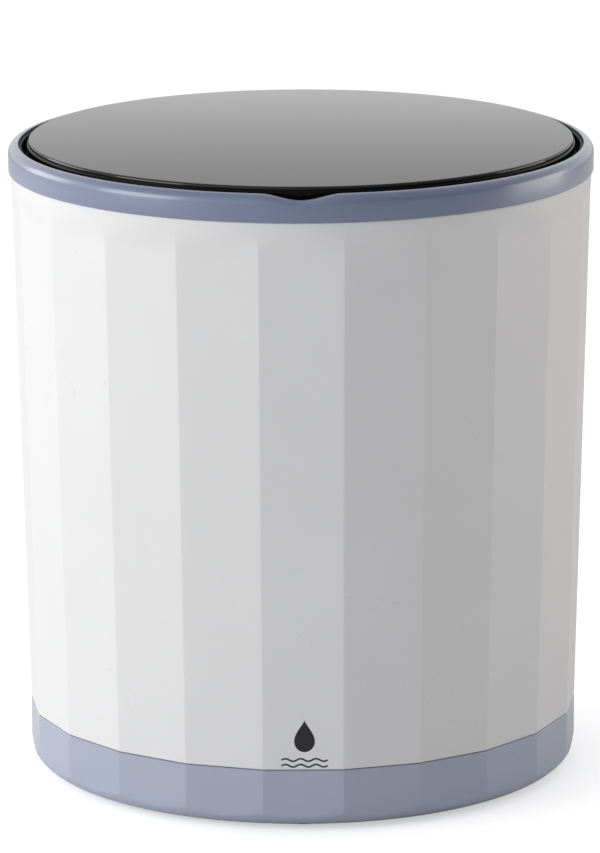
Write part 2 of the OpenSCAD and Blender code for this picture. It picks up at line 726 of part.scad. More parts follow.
module mode_button() color("white") button(-button_y, mode_r);

module indicator_lens() color("palegreen") on_facet(0, panel_z) translate([0, lens_y, -panel_body_t])
    cylinder(r = lens_r, h = panel_body_t + panel_plate_t + 0.3);

module control_board() color("seagreen") on_facet(0, panel_z) translate([0, 0, -board_depth - board_t]) difference() {
    block(board_w, board_h, board_t);
    for (side = [-1, 1]) translate([0, side * board_post_y, -1]) cylinder(r = board_screw_r + slip, h = board_t + 2);
}

// Two push switches, the lamp, two capacitors and a connector
module board_parts() color("dimgray") on_facet(0, panel_z) {
    switch_h = board_depth - panel_body_t - rest_gap - button_travel - press_gap;
    for (y = [button_y, -button_y]) translate([0, y, -board_depth]) {
        block(6, 6, switch_h - 1);
        cylinder(r = 1.7, h = switch_h);
    }
    translate([0, lens_y, -board_depth]) cylinder(r = 1.4, h = 3.5);
    translate([0, 0, -board_depth - board_t - connector_t]) {
        for (side = [-1, 1]) translate([side * 6, 6, 0]) cylinder(r = 3, h = connector_t);
        translate([0, -6, 0.7]) block(9, 9, connector_t - 0.7);
        translate([0, connector_y, 0]) block(12, connector_h, connector_t);
    }
}

module board_screws() color("silver") on_facet(0, panel_z) for (side = [-1, 1])
    translate([0, side * board_post_y, -board_depth - board_t]) screw(board_screw_r, 1.8, 1, board_t + 4);

// ---- power socket and leads ----------------------------------------------------------------

module power_socket() color("black") on_facet(-1, socket_z) difference() {
    union() {
        translate([0, 0, facet_seat]) cylinder(r = socket_flange_r, h = socket_flange_t - facet_seat);
        translate([0, 0, -socket_depth]) cylinder(r = socket_body_r, h = socket_depth + 0.5);
    }
    translate([0, 0, -socket_depth + 4]) cylinder(r = socket_r, h = 30);
    translate([0, 0, -socket_depth - 1]) cylinder(r = 1, h = 10);
}

module socket_pin() color("silver") on_facet(-1, socket_z) translate([0, 0, -socket_depth - 2])
    cylinder(r = 1, h = socket_depth + 1);

module socket_nut() color("silver") on_facet(-1, socket_z)
    translate([0, 0, -shell_wall - 0.6 - socket_nut_t]) difference() {
        cylinder(r = socket_body_r + 2.6, h = socket_nut_t, $fn = 6);
        translate([0, 0, -1]) cylinder(r = socket_body_r, h = socket_nut_t + 2);
    }

// A point behind facet k, in the object's frame: inwards by depth, at height z
function behind(k, depth, z) = let (t = 90 + k * 2 * half_step, r = flat_r(z) - depth)
    [r * cos(t), r * sin(t), z];

lead_start_z = panel_z + connector_y - connector_h / 2 - rest_gap;
lead_start_depth = board_depth + board_t + connector_t / 2;
module power_lead() color("firebrick") lead([
    behind(-0.1, lead_start_depth, lead_start_z), behind(-0.12, lead_start_depth, lead_start_z - 12),
    behind(-0.3, 11, lead_start_z - 30), behind(-0.4, 10, tub_floor_z + 8),
    behind(-0.6, 12, tub_floor_z - 8), behind(-0.9, 17, socket_z + 8),
    behind(-1, 20, socket_z + 3), behind(-1, 19.5, socket_z)], [1, 0, 0]);

module motor_lead() color("navy") lead([
    behind(0.1, lead_start_depth, lead_start_z), behind(0.12, lead_start_depth, lead_start_z - 12),
    behind(0.3, 11, lead_start_z - 30), behind(0.5, 10, tub_floor_z + 8),
    behind(1, 12, tub_floor_z - 4), behind(1.8, 16, tub_floor_z - 9),
    behind(2.7, 22, tub_floor_z - 9), [motor_at[0] + 9, motor_r + 14, motor_top_z - 4],
    [motor_at[0] + 9, motor_r + 1.6, motor_top_z - 4]], [1, 0.3, 0.4]);

// ---- drain ---------------------------------------------------------------------------------

drain_axis_end = flat_r(outlet_z) - spout_tail;

// The rubber elbow from the tub's spigot to the spout's tail
module drain_hose() color("dimgray") rotate([0, 0, drain_turn]) difference() {
    top_z = tub_under_z - 1;
    union() {
        translate([0, drain_pos_r, outlet_z]) cylinder(r = hose_r, h = top_z - outlet_z);
        translate([0, drain_pos_r, outlet_z]) sphere(r = hose_r);
        drain_run(0) cylinder(r = hose_r, h = flat_r(outlet_z) - spout_nut_back - hose_gap - drain_pos_r);
    }
    translate([0, drain_pos_r, outlet_z]) cylinder(r = drain_r, h = top_z);
    translate([0, drain_pos_r, tub_under_z - drain_spigot_len]) cylinder(r = drain_spigot_r, h = top_z);
    translate([0, drain_pos_r, outlet_z]) sphere(r = drain_r);
    drain_run(0) cylinder(r = drain_r, h = drain_axis_end + 20);
    drain_run(drain_axis_end - drain_pos_r) cylinder(r = drain_spigot_r, h = 20);
}

// The outlet's line, from under the tub's drain towards the facet
module drain_run(along) translate([0, drain_pos_r, outlet_z]) rotate([-90, 0, 0]) translate([0, 0, along]) children();

module hose_clips() color("silver") rotate([0, 0, drain_turn]) {
    translate([0, drain_pos_r, tub_under_z - drain_spigot_len + 3]) tube(hose_r + 1.2, hose_r, 6);
    drain_run(drain_axis_end - drain_pos_r + 1.5) tube(hose_r + 1.2, hose_r, 5);
}

// The spout lies on the hose's level line, and its flange leans with the facet
module drain_spout() color("lightsteelblue") difference() {
    union() {
        on_facet(1, outlet_z) translate([0, 0, facet_seat])
            cylinder(r = spout_flange_r, h = spout_flange_t - facet_seat);
        rotate([0, 0, drain_turn]) drain_run(drain_axis_end - drain_pos_r) cylinder(r = drain_spigot_r, h = spout_tail + 1);
    }
    rotate([0, 0, drain_turn]) drain_run(drain_axis_end - drain_pos_r - 1) cylinder(r = spout_bore, h = spout_tail + 10);
}

module spout_nut() color("lightgray") rotate([0, 0, drain_turn])
    drain_run(flat_r(outlet_z) - drain_pos_r - spout_nut_back) difference() {
        cylinder(r = drain_spigot_r + 4.6, h = spout_nut_t, $fn = 6);
        translate([0, 0, -1]) cylinder(r = drain_spigot_r, h = spout_nut_t + 2);
    }

module drain_plug() color("dimgray") rotate([0, 0, drain_turn]) drain_run(flat_r(outlet_z) - drain_pos_r) {
    seat = spout_flange_t + 0.7;
    translate([0, 0, seat - plug_len]) cylinder(r = plug_r, h = plug_len);
    translate([0, 0, seat]) difference() {
        cylinder(r = plug_head_r, h = plug_head_t);
        for (side = [-1, 1]) translate([-plug_head_r - 1, side * 6.5 - 2.5, 1.2]) cube([2 * plug_head_r + 2, 5, 4]);
    }
}

// ---- what is drawn -------------------------------------------------------------------------

outer_shell();
base_tray();
rubber_feet();
base_screws();
top_ring();
lid_seat();
lid_panel();
lid_liner();
lid_gasket();
wash_tub();
drain_grille();
impeller();
impeller_screw();
impeller_cap();
spindle();
bearing_housing();
upper_bush();
lower_bush();
shaft_seal();
housing_screws();
spindle_circlip();
driven_pulley();
pulley_washer();
pulley_nut();
drive_belt();
motor_can();
motor_end_cap();
motor_magnets();
motor_armature();
motor_shaft();
motor_pulley();
motor_bracket();
motor_screws();
bracket_screws();
bracket_grommets();
control_panel();
power_button();
mode_button();
indicator_lens();
control_board();
board_parts();
board_screws();
power_socket();
socket_pin();
socket_nut();
power_lead();
motor_lead();
drain_hose();
hose_clips();
drain_spout();
spout_nut();
drain_plug();
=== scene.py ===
import math

import bmesh
import bpy
from mathutils import Matrix, Vector


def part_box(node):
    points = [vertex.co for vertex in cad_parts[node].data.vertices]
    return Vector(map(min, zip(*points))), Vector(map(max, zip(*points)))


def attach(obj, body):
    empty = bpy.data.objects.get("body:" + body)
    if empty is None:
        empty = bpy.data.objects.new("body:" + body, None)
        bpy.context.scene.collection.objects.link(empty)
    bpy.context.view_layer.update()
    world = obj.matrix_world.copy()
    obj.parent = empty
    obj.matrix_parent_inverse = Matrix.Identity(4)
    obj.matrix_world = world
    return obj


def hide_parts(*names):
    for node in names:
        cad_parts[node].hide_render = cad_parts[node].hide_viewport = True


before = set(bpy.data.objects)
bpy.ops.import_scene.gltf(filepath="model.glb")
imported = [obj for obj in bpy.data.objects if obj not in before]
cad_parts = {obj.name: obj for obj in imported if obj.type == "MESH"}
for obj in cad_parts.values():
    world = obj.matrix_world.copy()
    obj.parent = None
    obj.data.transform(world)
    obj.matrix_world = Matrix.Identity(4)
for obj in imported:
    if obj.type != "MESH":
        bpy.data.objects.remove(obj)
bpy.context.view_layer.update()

# --- Studio -----------------------------------------------------------------------------------
# A white room seen through a long lens from a little above the lid. It is brightest on the left,
# a dark card shades the front right, and a soft warm light stands on the far right.
camera = bpy.data.objects.new("camera", bpy.data.cameras.new("camera"))
bpy.context.collection.objects.link(camera)
camera.data.lens = 241.3
camera.data.sensor_width = 36
camera.data.clip_end = 50
tilt_down, roll = 0.231, -0.0036
camera.matrix_world = (
    Matrix.Translation((-0.00085, -2.5, 0.7404))
    @ Matrix.Rotation(math.pi / 2 - tilt_down, 4, "X")
    @ Matrix.Rotation(roll, 4, "Z")
)
bpy.context.scene.camera = camera
bpy.context.scene.view_settings.view_transform = "Standard"


def softbox(name, place, aim, width, height, power, color=(1, 1, 1)):
    """A rectangular studio light at place, turned towards aim."""
    data = bpy.data.lights.new(name, "AREA")
    data.shape = "RECTANGLE"
    data.size, data.size_y = width, height
    data.energy, data.color = power, color
    light = bpy.data.objects.new(name, data)
    bpy.context.collection.objects.link(light)
    light.location = place
    light.rotation_euler = (Vector(aim) - Vector(place)).to_track_quat("-Z", "Y").to_euler()


softbox("key_left", (-2.2, -1.0, 0.8), (0, 0, 0.15), 1.4, 1.4, 23)
softbox("edge_left", (-1.6, 0.75, 0.6), (0, 0, 0.2), 0.9, 0.8, 6)
softbox("warm_right", (1.5, 0.35, 0.25), (0, 0, 0.1), 0.9, 0.9, 6, (1, 0.92, 0.84))


class Wire:
    """An output socket of a node tree. Arithmetic on it adds Math nodes to the tree."""

    def __init__(self, tree, socket=None):
        self.tree, self.socket = tree, socket

    def node(self, kind, settings=None, sockets=None, out=0):
        """Any node: its settings are set first, then the values or links of its sockets."""
        made = self.tree.nodes.new(kind)
        for key, value in (settings or {}).items():
            setattr(made, key, value)
        for key, value in (sockets or {}).items():
            if isinstance(value, Wire):
                self.tree.links.new(value.socket, made.inputs[key])
            else:
                made.inputs[key].default_value = value
        return Wire(self.tree, made.outputs[out])

    def math(self, operation, first, second):
        return self.node("ShaderNodeMath", {"operation": operation}, {0: first, 1: second})

    def __add__(self, other):
        return self.math("ADD", self, other)

    def __mul__(self, other):
        return self.math("MULTIPLY", self, other)

    def __sub__(self, other):
        return self.math("SUBTRACT", self, other)

    def __rsub__(self, other):
        return self.math("SUBTRACT", other, self)

    __radd__, __rmul__ = __add__, __mul__

    def between(self, low, high):
        """0 where the value is at low, 1 where it is at high, eased between."""
        return self.node(
            "ShaderNodeMapRange",
            {"interpolation_type": "SMOOTHSTEP"},
            {"Value": self, "From Min": low, "From Max": high},
        )

    def blend(self, low, high):
        """A mix of two colours, low where this value is 0 and high where it is 1."""
        low, high = (c if isinstance(c, Wire) else (*c, 1) for c in (low, high))
        return self.node("ShaderNodeMix", {"data_type": "RGBA"}, {0: self, 6: low, 7: high}, out=2)


world = bpy.data.worlds.new("studio_room")
bpy.context.scene.world = world
world.use_nodes = True
room = Wire(world.node_tree)
look = room.node("ShaderNodeTexCoord")
to_right, to_back, upward = (room.node("ShaderNodeSeparateXYZ", sockets={0: look}, out=k) for k in "XYZ")
card = (to_right * 0.78 - to_back * 0.62).between(0.15, 0.85)
ceiling = upward.between(0.35, 0.95)
walls = card.blend((0.9, 0.9, 0.9), (0.14, 0.15, 0.175))
lit = ceiling.blend(walls, (0.42, 0.42, 0.42))
seen = room.node("ShaderNodeLightPath", out="Is Camera Ray").blend(lit, (1, 1, 1))
world.node_tree.links.new(seen.socket, world.node_tree.nodes["Background"].inputs["Color"])

bpy.ops.mesh.primitive_circle_add(vertices=64, radius=12, fill_type="NGON")
floor = bpy.context.object
floor.name = "studio_floor"


def new_finish(name):
    material = bpy.data.materials.new(name)
    material.use_nodes = True
    return material, Wire(material.node_tree)


def set_shader(material, sockets):
    """Links what varies to the shader, and sets the rest on its sockets."""
    shader = material.node_tree.nodes["Principled BSDF"]
    for key, value in sockets.items():
        if isinstance(value, Wire):
            material.node_tree.links.new(value.socket, shader.inputs[key])
        else:
            shader.inputs[key].default_value = value


paper, sheet = new_finish("studio_paper")
direct = sheet.node("ShaderNodeLightPath", out="Is Camera Ray")
set_shader(paper, {
    "Base Color": direct.blend((0.86, 0.86, 0.86), (0.9, 0.9, 0.9)),
    "Roughness": 0.9,
    "Specular IOR Level": 0.0,
    "Emission Color": direct.blend((0, 0, 0), (1, 1, 1)),
    "Emission Strength": 0.5,
})
floor.data.materials.append(paper)

# --- Outer shell ------------------------------------------------------------------------------
# The white wall, one injection moulding in ABS. Twenty-two flat facets run up it and fade into a
# round edge that the blue top ring clamps. Its foot sits over a spigot on the base tray.
mm = 0.001
facets = 22
half_step = math.pi / facets
joint_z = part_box("top_ring")[0].z
base_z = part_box("outer_shell")[0].z
shell_top_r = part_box("outer_shell")[1].x
shell_foot_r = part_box("base_tray")[1].y / math.cos(half_step)
wall_slope = (shell_top_r - shell_foot_r) / (joint_z - base_z)
facet_lean = math.atan(wall_slope * math.cos(half_step))
shell_wall = 2.2 * mm


def corner_r(z):
    """Distance from the axis to the casing's facet corners, before they are rounded."""
    return shell_foot_r + (z - base_z) * wall_slope


def flat_r(z):
    return corner_r(z) * math.cos(half_step)


def outline(z, roundness, inset=0.0, limit=1.0, corner=2 * mm):
    """The casing's outline at height z: flats joined by small arcs, eased towards a circle."""
    apothem, circle_r = flat_r(max(z, base_z)) - inset, corner_r(max(z, base_z)) - inset
    arc_centre = (apothem - corner) / math.cos(half_step)
    flat_half = (apothem - corner) * math.tan(half_step)
    local = [(apothem, flat_half * i / 5) for i in range(-5, 6)]
    for i in range(1, 6):
        turn = 2 * half_step * i / 6
        local.append((
            arc_centre * math.cos(half_step) + corner * math.cos(turn),
            arc_centre * math.sin(half_step) + corner * math.sin(turn),
        ))
    ring = []
    for k in range(facets):
        for out, side in local:
            radius, angle = math.hypot(out, side), math.atan2(side, out) - math.pi / 2 + 2 * k * half_step
            radius = min(radius + (circle_r - radius) * roundness, limit)
            ring.append(Vector((radius * math.cos(angle), radius * math.sin(angle), z)))
    return ring


def ease(value, low, high):
    """0 up to low, 1 from high on, and a smooth step between."""
    t = min(max((value - low) / (high - low), 0), 1)
    return t * t * (3 - 2 * t)


def steps_between(low, high, count):
    return [low + (high - low) * i / count for i in range(count + 1)]


def loft(rings, loop=False, capped=False):
    """Vertices and faces through rings of equally many points. A ring of one point is a tip."""
    verts, faces, starts = [], [], []
    for ring in rings:
        starts.append(len(verts))
        verts.extend(ring)
    pairs = [(i, i + 1) for i in range(len(rings) - 1)] + ([(len(rings) - 1, 0)] if loop else [])
    for a, b in pairs:
        wide = max(len(rings[a]), len(rings[b]))
        for k in range(wide):
            n = (k + 1) % wide
            a_k, a_n = (starts[a] + (i if len(rings[a]) > 1 else 0) for i in (k, n))
            b_k, b_n = (starts[b] + (i if len(rings[b]) > 1 else 0) for i in (k, n))
            faces.append(list(dict.fromkeys((a_k, a_n, b_n, b_k))))
    if capped:
        faces.append(list(range(len(rings[0]))))
        faces.append(list(range(starts[-1], len(verts))))
    return verts, faces


def placed(shape, place):
    return [place @ Vector(v) for v in shape[0]], shape[1]


def together(*shapes):
    verts, faces = [], []
    for some_verts, some_faces in shapes:
        faces += [[len(verts) + i for i in face] for face in some_faces]
        verts += [Vector(v) for v in some_verts]
    return verts, faces


def mesh_object(name, shape):
    mesh = bpy.data.meshes.new(name)
    mesh.from_pydata([Vector(v) for v in shape[0]], [], shape[1])
    work = bmesh.new()
    work.from_mesh(mesh)
    bmesh.ops.remove_doubles(work, verts=work.verts, dist=1e-6)
    bmesh.ops.recalc_face_normals(work, faces=work.faces)
    work.to_mesh(mesh)
    work.free()
    made = bpy.data.objects.new(name, mesh)
    bpy.context.collection.objects.link(made)
    return made


def piece(name, shape, body, finish, nodes=(), cuts=None, crease=32):
    """A finished piece riding on a body in place of CAD nodes, with closed shapes cut from it."""
    made = mesh_object(name, shape)
    if cuts:
        tool = mesh_object("cutter", cuts)
        bore = made.modifiers.new("bore", "BOOLEAN")
        bore.object, bore.solver = tool, "EXACT"
        finished = made.evaluated_get(bpy.context.evaluated_depsgraph_get())
        made.data = bpy.data.meshes.new_from_object(finished)
        made.modifiers.clear()
        bpy.data.objects.remove(tool)
    work = bmesh.new()
    work.from_mesh(made.data)
    for face in work.faces:
        face.smooth = True
        face.material_index = 0
    for edge in work.edges:
        edge.smooth = len(edge.link_faces) == 2 and edge.calc_face_angle(0) < math.radians(crease)
    work.to_mesh(made.data)
    work.free()
    made.data.materials.clear()
    made.data.materials.append(finish)
    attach(made, body)
    if nodes:
        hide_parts(*nodes)
    return made


def on_facet(k, z):
    """The frame of facet k counted from the rear: +Z outwards and +Y up the facet."""
    return (
        Matrix.Rotation(2 * half_step * k, 4, "Z")
        @ Matrix.Translation((0, flat_r(z), z))
        @ Matrix.Rotation(-math.pi / 2 - facet_lean, 4, "X")
        @ Matrix.Rotation(math.pi, 4, "Z")
    )


def circle(r, z, steps=48):
    """A circle about the Z axis at height z, starting at the front, or a tip where r is 0."""
    if r < 1e-7:
        return [Vector((0, 0, z))]
    angles = [2 * math.pi * i / steps for i in range(steps)]
    return [Vector((r * math.sin(t), -r * math.cos(t), z)) for t in angles]


def turned(profile, steps=48, loop=False):
    """A profile of (radius, height) points turned about the Z axis."""
    return loft([circle(r, z, steps) for r, z in profile], loop)


def rod(r, low, high, steps=48):
    return turned([(0, low), (r, low), (r, high), (0, high)], steps)


def slab(width, height, low, high, corner=0.0):
    """A flat block centred on the Z axis, with rounded corners in plan."""
    corner = max(corner, 0.01 * mm)
    ring = []
    for turn, (sx, sy) in enumerate(((1, 1), (-1, 1), (-1, -1), (1, -1))):
        for i in range(7):
            t = math.pi / 2 * (turn + i / 6)
            x = sx * (width / 2 - corner) + corner * math.cos(t)
            y = sy * (height / 2 - corner) + corner * math.sin(t)
            ring.append((x, y))
    return loft([[Vector((x, y, z)) for x, y in ring] for z in (low, high)], capped=True)


def moulded(name, color, roughness, grain=0.5, mottle=0.02, coat=0.0, scuffs=0.0, shine=0.5):
    """Injection-moulded plastic: fine grain, slight mottling, dust and hairline scuffs."""
    material, start = new_finish(name)
    here = start.node("ShaderNodeTexCoord", out="Object")
    cloud = start.node("ShaderNodeTexNoise", sockets={"Vector": here, "Scale": 14.0, "Detail": 2.0})
    fine = start.node("ShaderNodeTexNoise", sockets={"Vector": here, "Scale": 900.0, "Detail": 2.0})
    stretched = start.node(
        "ShaderNodeMapping", sockets={"Vector": here, "Scale": (45, 45, 700), "Rotation": (0.7, 0.4, 0)}
    )
    hair = start.node("ShaderNodeTexNoise", sockets={"Vector": stretched, "Scale": 1.0, "Detail": 1.0})
    scratch = hair.between(0.735, 0.755) * cloud.between(0.52, 0.62) * scuffs
    fleck = start.node("ShaderNodeTexNoise", sockets={"Vector": here, "Scale": 420.0, "Detail": 0.0})
    dust = fleck.between(0.79, 0.83) * cloud.between(0.45, 0.6) * scuffs
    darker = tuple(c * (1 - mottle) for c in color)
    lighter = tuple(min(c * (1 + mottle), 1) for c in color)
    tone = cloud.between(0.3, 0.7).blend(darker, lighter)
    tone = (scratch * 0.35 + dust * 0.5).blend(tone, tuple(c * 0.6 for c in color))
    bump = start.node(
        "ShaderNodeBump", sockets={"Strength": grain, "Distance": 0.02 * mm, "Height": fine - scratch * 0.8}
    )
    set_shader(material, {
        "Base Color": tone,
        "Roughness": roughness + (cloud - 0.5) * 0.1 + (fine - 0.5) * 0.08 + scratch * 0.15,
        "Normal": bump,
        "Coat Weight": coat,
        "Coat Roughness": 0.2,
        "Specular IOR Level": shine,
    })
    return material


white_abs = moulded("white_abs", (0.80, 0.80, 0.805), 0.45, grain=0.3, mottle=0.008, scuffs=0.35, coat=0.1)
fade_low, fade_high = joint_z - 16 * mm, joint_z - 4 * mm
outer = [outline(base_z + 0.2 * mm, 0, inset=0.35 * mm), outline(base_z + 0.5 * mm, 0)]
outer += [outline(z, 0) for z in steps_between(base_z + 8 * mm, fade_low, 6)]
outer += [outline(z, ease(z, fade_low, fade_high)) for z in steps_between(fade_low + mm, fade_high, 10)]
outer += [outline(joint_z - 0.3 * mm, 1), outline(joint_z, 1, inset=0.3 * mm)]
inner = [outline(z, 1, inset=shell_wall + 1.6 * mm) for z in (joint_z, base_z + 0.2 * mm)]
panel_z = (joint_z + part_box("drain_grille")[0].z) / 2
outlet_z = (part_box("drain_plug")[0].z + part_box("drain_plug")[1].z) / 2
socket_z = (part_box("power_socket")[0].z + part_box("power_socket")[1].z) / 2
panel_hole_w, panel_hole_h = 26.4 * mm, 58.4 * mm
spout_hole_r, socket_hole_r = 10.6 * mm, 5.8 * mm
openings = together(
    placed(slab(panel_hole_w, panel_hole_h, -20 * mm, 10 * mm, 1 * mm), on_facet(0, panel_z)),
    placed(rod(spout_hole_r, -12 * mm, 8 * mm), on_facet(1, outlet_z)),
    placed(rod(socket_hole_r, -12 * mm, 8 * mm), on_facet(-1, socket_z)),
)
piece(
    "shell_moulding", loft(outer + inner, loop=True), "casing", white_abs,
    ["outer_shell"], cuts=openings,
)

# --- Printed mark -----------------------------------------------------------------------------
# A small water drop over two wave lines, pad-printed in black ink low on the front facet. The
# ink lies a few hundredths of a millimetre proud of the plastic.
ink_lift = 0.04 * mm


def stroke(points, width, lift=ink_lift):
    """A flat printed line of even width along 2-D points."""
    sides = []
    for i, point in enumerate(points):
        along = Vector(points[min(i + 1, len(points) - 1)]) - Vector(points[max(i - 1, 0)])
        off = Vector((-along.y, along.x)).normalized() * width / 2
        sides.append([Vector((*(Vector(point) + side * off), lift)) for side in (1, -1)])
    faces = [[2 * i, 2 * i + 1, 2 * i + 3, 2 * i + 2] for i in range(len(points) - 1)]
    return [v for pair in sides for v in pair], faces


def water_drop(height, lift=ink_lift):
    """A filled drop, centred: a round belly that narrows to a point at the top."""
    rim = []
    for i in range(48):
        t = 2 * math.pi * i / 48
        width = height * 0.37 * math.sin(t) * (1 - ((math.cos(t) + 1) / 2) ** 2)
        rim.append((width, height / 2 * math.cos(t), lift))
    return rim, [list(range(48))]


def wave_line(width, y, swell=0.6 * mm, count=3):
    return [
        (width * (i / 60 - 0.5), y + swell * math.sin(2 * math.pi * count * i / 60)) for i in range(61)
    ]


black_ink = moulded("black_ink", (0.012, 0.012, 0.014), 0.5, grain=0.1)
mark = together(
    water_drop(14.5 * mm),
    stroke(wave_line(20 * mm, -10.8 * mm), 0.75 * mm),
    stroke(wave_line(20 * mm, -13.4 * mm), 0.75 * mm),
)
mark = placed(mark, on_facet(facets // 2, base_z + 15.5 * mm) @ Matrix.Translation((0.6 * mm, 0, 0)))
piece("printed_mark", mark, "casing", black_ink)

# --- Base tray --------------------------------------------------------------------------------
# The blue foot of the casing, moulded in ABS with the same facets, which run out into a
# soft rounding below. Screws from underneath hold the casing on, and slots cool the motor.
blue_abs = moulded("blue_abs", (0.39, 0.43, 0.55), 0.42, grain=0.25, mottle=0.015, coat=1.0, scuffs=0.3)
tray_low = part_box("base_tray")[0].z
edge_r = 10.5 * mm
edge_centre_r = corner_r(base_z) - edge_r + 0.4 * mm
tray_floor_t = 3 * mm
tray_floor = tray_low + tray_floor_t
foot_r, screw_head_r = 9 * mm, 3 * mm
tray = [[Vector((0, 0, tray_low))], outline(tray_low, 0, limit=edge_centre_r * 0.5)]
for i in range(15):
    turn = math.pi / 2 * (1 - i / 14)
    z = tray_low + edge_r * (1 - math.sin(turn))
    tray.append(outline(z, 0, limit=edge_centre_r + edge_r * math.cos(turn), corner=1.6 * mm))
tray += [outline(z, 0) for z in steps_between(tray_low + edge_r + mm, base_z - 0.5 * mm, 3)]
tray += [outline(base_z - 0.15 * mm, 0, inset=0.35 * mm)]
tray += [outline(z, 1, limit=flat_r(base_z) - 2.6 * mm) for z in (base_z - 0.15 * mm, base_z + 4.5 * mm)]
tray += [outline(z, 1, limit=flat_r(base_z) - 4.4 * mm) for z in (base_z + 4.5 * mm, tray_floor + 8 * mm)]
tray += [outline(tray_floor, 1, limit=flat_r(base_z) - 12 * mm), [Vector((0, 0, tray_floor))]]
foot_ring_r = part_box("rubber_feet")[1].x - foot_r
screw_ring_r = (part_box("base_screws")[1].x - screw_head_r) * math.sqrt(2)


def round_about(shape, count, radius, start=0.0):
    """Copies of a shape on a circle about the Z axis."""
    turns = [start + 2 * math.pi * i / count for i in range(count)]
    return together(*(
        placed(shape, Matrix.Rotation(t, 4, "Z") @ Matrix.Translation((radius, 0, 0))) for t in turns
    ))


vent_w, vent_h, vent_x, vent_pitch = 44 * mm, 4 * mm, 34 * mm, 11 * mm
vent = slab(vent_w, vent_h, tray_low - mm, tray_low + 4 * mm, 1.9 * mm)
vents = [
    placed(vent, Matrix.Translation((side * vent_x, row * vent_pitch, 0)))
    for row in range(-2, 3) for side in (-1, 1)
]
tray_cuts = together(
    round_about(
        rod(screw_head_r + 0.4 * mm, tray_low - mm, tray_low + 2 * mm), 4, screw_ring_r, math.pi / 4
    ),
    round_about(rod(foot_r + 0.05 * mm, tray_low - mm, tray_low + 1.2 * mm, 64), 4, foot_ring_r),
    *vents,
)
piece("base_moulding", loft(tray), "casing", blue_abs, ["base_tray"], cuts=tray_cuts)

# --- Feet and casing screws ---------------------------------------------------------------------
# Four pressed-in rubber pads with a grooved sole, and four cross-head screws that pull the base
# tray up against the bosses in the casing.
grey_rubber = moulded("grey_rubber", (0.055, 0.055, 0.06), 0.75, grain=1.0, mottle=0.1)
sole = [(0, 0)]
for groove in (2, 4, 6):
    sole += [((groove - 0.4) * mm, 0), (groove * mm, 0.5 * mm), ((groove + 0.4) * mm, 0)]
sole += [(8.2 * mm, 0), (8.7 * mm, 0.3 * mm), (8.9 * mm, 0.9 * mm), (8.9 * mm, 2.7 * mm), (0, 2.7 * mm)]
piece(
    "grooved_feet", round_about(turned(sole), 4, foot_ring_r), "casing", grey_rubber,
    ["rubber_feet"],
)


def metal(name, color, roughness, grain=0.3, drawn=(300, 300, 300), stain=0.25):
    """Bare or plated metal: a drawn or brushed grain, uneven shine and a few darker stains."""
    material, start = new_finish(name)
    here = start.node("ShaderNodeTexCoord", out="Object")
    lines = start.node("ShaderNodeMapping", sockets={"Vector": here, "Scale": drawn})
    brush = start.node("ShaderNodeTexNoise", sockets={"Vector": lines, "Scale": 3.0, "Detail": 3.0})
    cloud = start.node("ShaderNodeTexNoise", sockets={"Vector": here, "Scale": 60.0, "Detail": 3.0})
    stained = cloud.between(0.52, 0.75) * stain
    tone = brush.between(0.3, 0.7).blend(tuple(c * 0.93 for c in color), color)
    set_shader(material, {
        "Base Color": stained.blend(tone, tuple(c * 0.6 for c in color)),
        "Metallic": 1.0,
        "Roughness": roughness + (brush - 0.5) * 0.12 + stained * 0.3,
        "Normal": start.node(
            "ShaderNodeBump", sockets={"Strength": grain, "Distance": 0.02 * mm, "Height": brush}
        ),
    })
    return material


def dress(material, *nodes):
    """Gives CAD nodes whose shape stays their finish."""
    for name in nodes:
        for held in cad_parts[name].material_slots:
            held.material = material


zinc = metal("zinc_plate", (0.62, 0.63, 0.64), 0.32)
dress(zinc, "base_screws", "housing_screws", "motor_screws")
dress(zinc, "bracket_screws", "board_screws", "impeller_screw")

# --- Top ring ---------------------------------------------------------------------------------
# The blue ring that clamps the tub's flange on the casing. Its shoulder is rounded over to the
# lip, which dips at the front so that two fingertips reach the lid.
notch_half = 18 * mm
ring_w = 4.6 * mm
ring_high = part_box("top_ring")[1]
ring_r, ring_top = ring_high.x, ring_high.z
lip_r = ring_r - ring_w


def filleted(corners, steps=5):
    """A profile with its corners rounded. A corner is (radius, height, size of its rounding)."""
    points = []
    for i, (r, z, size) in enumerate(corners):
        here = Vector((r, z))
        if size == 0:
            points.append((r, z))
            continue
        before = (Vector(corners[i - 1][:2]) - here).normalized()
        after = (Vector(corners[(i + 1) % len(corners)][:2]) - here).normalized()
        half = before.angle(after) / 2
        centre = here + (before + after).normalized() * size / math.sin(half)
        first = here + before * size / math.tan(half) - centre
        sweep = first.angle_signed(here + after * size / math.tan(half) - centre)
        for j in range(steps + 1):
            points.append(tuple(centre + Matrix.Rotation(-sweep * j / steps, 2) @ first))
    return points


def dipped(shape, top, reach, depth):
    """Lowers what lies near the top of a ring inside the finger notch at the front."""
    verts = []
    for v in shape[0]:
        if v.y < 0 and abs(v.x) < notch_half:
            swell = (1 + math.cos(math.pi * v.x / notch_half)) / 2
            v = v - Vector((0, 0, depth * swell * ease(v.z, top - reach, top)))
        verts.append(v)
    return verts, shape[1]


